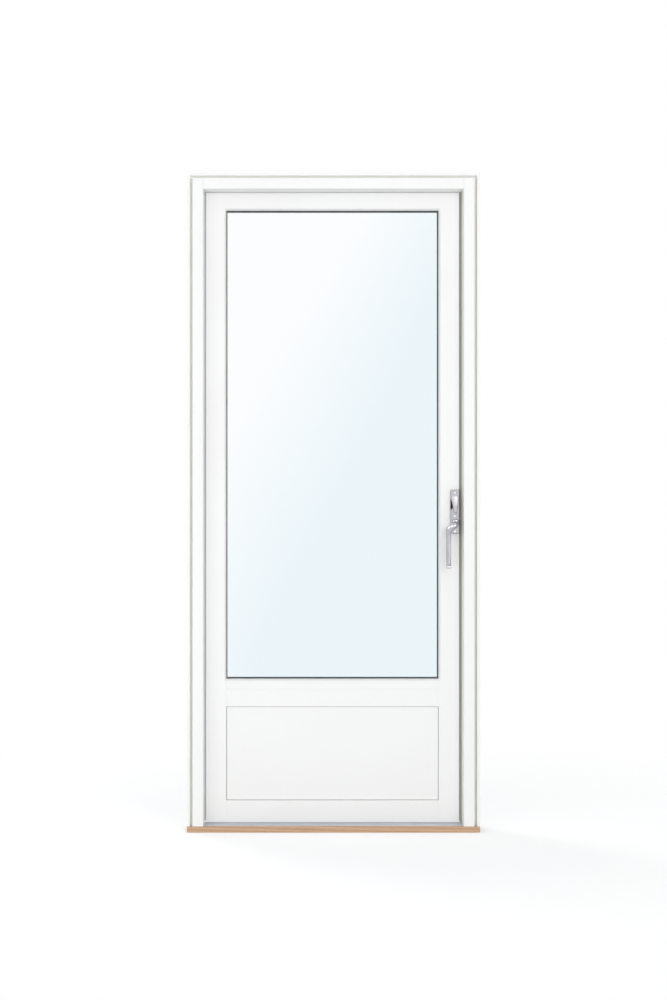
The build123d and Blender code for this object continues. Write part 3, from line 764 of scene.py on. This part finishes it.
def seal_outline(foot, tip):
    """(place across the gap, depth) round a seal that reaches from foot to tip."""
    way = 1 if foot > tip else -1
    outline = [(foot + way * SEAL_FOOT, -SEAL_HALF), (foot - way * SEAL_LEDGE, -SEAL_HALF)]
    reach = abs(foot - tip) - SEAL_TIP
    for at in range(SEAL_TIP_STEPS + 1):
        turn = math.pi / 2 * (2 * at / SEAL_TIP_STEPS - 1)
        across = foot - way * (reach + SEAL_TIP * math.cos(turn))
        outline.append((across, SEAL_TIP * math.sin(turn)))
    return outline + [(foot - way * SEAL_LEDGE, SEAL_HALF), (foot + way * SEAL_FOOT, SEAL_HALF)]


for name, foot, tip, tone in JAMB_SEALS:
    rings = [
        [Vector((x, SEAL_Y + y, height)) for x, y in seal_outline(foot, tip)]
        for height in SEAL_HEIGHTS
    ]
    add_piece(name, *skin(rings), tone, "frame", "dark_rubber", smooth=False)
for name, foot, tip, tone in LEVEL_SEALS:
    rings = [
        [Vector((x, SEAL_Y + y, z)) for z, y in seal_outline(foot, tip)]
        for x in SEAL_PLACES
    ]
    add_piece(name, *skin(rings), tone, "frame", "dark_rubber", smooth=False)

# Steel sleeves in the jambs' fixing holes. Their section is (radius, reach from the middle).
FIXING_Y = 0.04125
FIXING_HEIGHTS = (0.240, 0.740, 1.240, 1.740)
SLEEVE_SIDES = 40
SLEEVE = (
    (0.0055, 0.4300), (0.0068, 0.4300), (0.0068, 0.4062), (0.0062, 0.4056), (0.0055, 0.4062),
)
for side, name in ((-1, "hinge"), (1, "lock")):
    shapes = []
    for height in FIXING_HEIGHTS:
        rings = [
            [
                Vector((
                    side * reach,
                    FIXING_Y + radius * math.cos(turn),
                    height + radius * math.sin(turn),
                ))
                for turn in (2 * math.pi * at / SLEEVE_SIDES for at in range(SLEEVE_SIDES))
            ]
            for radius, reach in SLEEVE
        ]
        points, faces = skin(rings)
        # The two end faces come off, and the bore's wall joins the last ring to the first.
        faces = faces[:-2]
        top = (len(rings) - 1) * SLEEVE_SIDES
        faces += [
            (top + at, top + (at + 1) % SLEEVE_SIDES, (at + 1) % SLEEVE_SIDES, at)
            for at in range(SLEEVE_SIDES)
        ]
        shapes.append((points, faces))
    add_piece("fixing_sleeves_" + name, *joined(shapes), zinc, "frame", "zinc_steel")

# Camera.

# The eye stands off the picture's middle, and the shift brings the door back into it.
PHOTO_HEIGHT = 1000
MM_PER_PIXEL = 3.0
INNER_FACE = -0.0575
PICTURE_MIDDLE_X = 0
PICTURE_MIDDLE_Z = 0.9975
CAMERA_X = -0.15
CAMERA_Z = 1.06
CAMERA_DISTANCE = 6.5
SENSOR = 36

camera_data = bpy.data.cameras.new("camera")
camera_data.sensor_fit = "VERTICAL"
camera_data.sensor_height = SENSOR
picture_tall = PHOTO_HEIGHT * MM_PER_PIXEL / 1000
camera_data.lens = SENSOR * CAMERA_DISTANCE / picture_tall
camera_data.shift_x = (PICTURE_MIDDLE_X - CAMERA_X) / picture_tall
camera_data.shift_y = (PICTURE_MIDDLE_Z - CAMERA_Z) / picture_tall
camera = bpy.data.objects.new("camera", camera_data)
camera.location = (CAMERA_X, INNER_FACE - CAMERA_DISTANCE, CAMERA_Z)
camera.rotation_euler = (math.radians(90), 0, 0)
scene.collection.objects.link(camera)
scene.camera = camera

# Light and backdrop.

AMBIENT_STRENGTH = 0.72

world = bpy.data.worlds.new("studio")
scene.world = world
world.use_nodes = True
tree = world.node_tree
tree.nodes.clear()
seen = direct_rays(tree)
ambient = tree.nodes.new("ShaderNodeBackground")
ambient.inputs["Color"].default_value = (0.98, 0.99, 1.0, 1)
ambient.inputs["Strength"].default_value = AMBIENT_STRENGTH
backdrop = tree.nodes.new("ShaderNodeBackground")
backdrop.inputs["Color"].default_value = (1, 1, 1, 1)
backdrop.inputs["Strength"].default_value = 1
choice = tree.nodes.new("ShaderNodeMixShader")
tree.links.new(seen, choice.inputs["Fac"])
tree.links.new(ambient.outputs[0], choice.inputs[1])
tree.links.new(backdrop.outputs[0], choice.inputs[2])
world_out = tree.nodes.new("ShaderNodeOutputWorld")
tree.links.new(choice.outputs[0], world_out.inputs["Surface"])


def soft_light(name, place_at, aim, size, power, colour=(1, 1, 1)):
    """A square lamp turned to its aim, which does not show through the glass."""
    data = bpy.data.lights.new(name, "AREA")
    data.shape = "SQUARE"
    data.size = size
    data.energy = power
    data.color = colour
    lamp = bpy.data.objects.new(name, data)
    lamp.location = place_at
    lamp.rotation_euler = (Vector(aim) - Vector(place_at)).to_track_quat("-Z", "Y").to_euler()
    lamp.visible_transmission = False
    scene.collection.objects.link(lamp)
    return lamp


soft_light("key", (2.0, -5.6, 2.6), (0, 0, 0.9), 2.2, 61, (1, 0.995, 0.985))
fill = soft_light("fill", (-1.6, -2.6, 0.25), (0, 0, 0.35), 1.4, 15.5, (0.98, 0.99, 1))
fill.visible_glossy = False
soft_light("top", (-0.5, -2.4, 3.6), (0, -0.3, 0.6), 1.3, 6)
soft_light("back", (-2.9, 4.0, 3.4), (0, 0, 1.0), 2.0, 55)
# Two bright cards that only shine back from the metal.
for card in (
    soft_light("side_card", (4.5, -2.6, 1.4), (0.3, 0, 1.0), 1.0, 20),
    soft_light("corner_card", (-2.6, -3.0, 3.0), (0.3, 0, 0.9), 1.7, 40),
):
    card.visible_diffuse = False

FLOOR_HALF = 9
FLOOR_BELOW = -0.0004
FLOOR_LIFT = 0.17
SHADOW_REACH = 0.9
FLOOR_PLAIN_FROM = 2.2
FLOOR_TONES = [(0.3, (0.93, 0.93, 0.93)), (0.7, (0.945, 0.945, 0.945))]
floor_mesh = bpy.data.meshes.new("floor")
floor_mesh.from_pydata(
    [(x * FLOOR_HALF, y * FLOOR_HALF, FLOOR_BELOW) for x, y in ((-1, -1), (1, -1), (1, 1), (-1, 1))],
    [], [(0, 1, 2, 3)],
)
floor = bpy.data.objects.new("floor", floor_mesh)
scene.collection.objects.link(floor)
floor_material, tree, shader = start_material("floor")
speck = grain(tree, (40, 40, 40), detail=3)
set_colour(tree, shader, ramp(tree, speck, FLOOR_TONES))
shader.inputs["Roughness"].default_value = 0.8
shader.inputs["Specular IOR Level"].default_value = 0.2
seen = direct_rays(tree)
lift = tree.nodes.new("ShaderNodeEmission")
tree.links.new(sums(tree, "MULTIPLY", seen, FLOOR_LIFT), lift.inputs["Strength"])
near = tree.nodes.new("ShaderNodeAddShader")
tree.links.new(shader.outputs[0], near.inputs[0])
tree.links.new(lift.outputs[0], near.inputs[1])
plain = tree.nodes.new("ShaderNodeEmission")
far = tree.nodes.new("ShaderNodeMixShader")
distance = tree.nodes.new("ShaderNodeVectorMath")
distance.operation = "LENGTH"
tree.links.new(place(tree), distance.inputs[0])
fade = levels(tree, distance.outputs["Value"], 0, 1, SHADOW_REACH, FLOOR_PLAIN_FROM)
tree.links.new(sums(tree, "MULTIPLY", fade, seen), far.inputs["Fac"])
tree.links.new(near.outputs[0], far.inputs[1])
tree.links.new(plain.outputs[0], far.inputs[2])
tree.links.new(far.outputs[0], tree.nodes["Material Output"].inputs["Surface"])
floor_mesh.materials.append(floor_material)
floor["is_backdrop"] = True

# Sizes.

low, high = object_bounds()
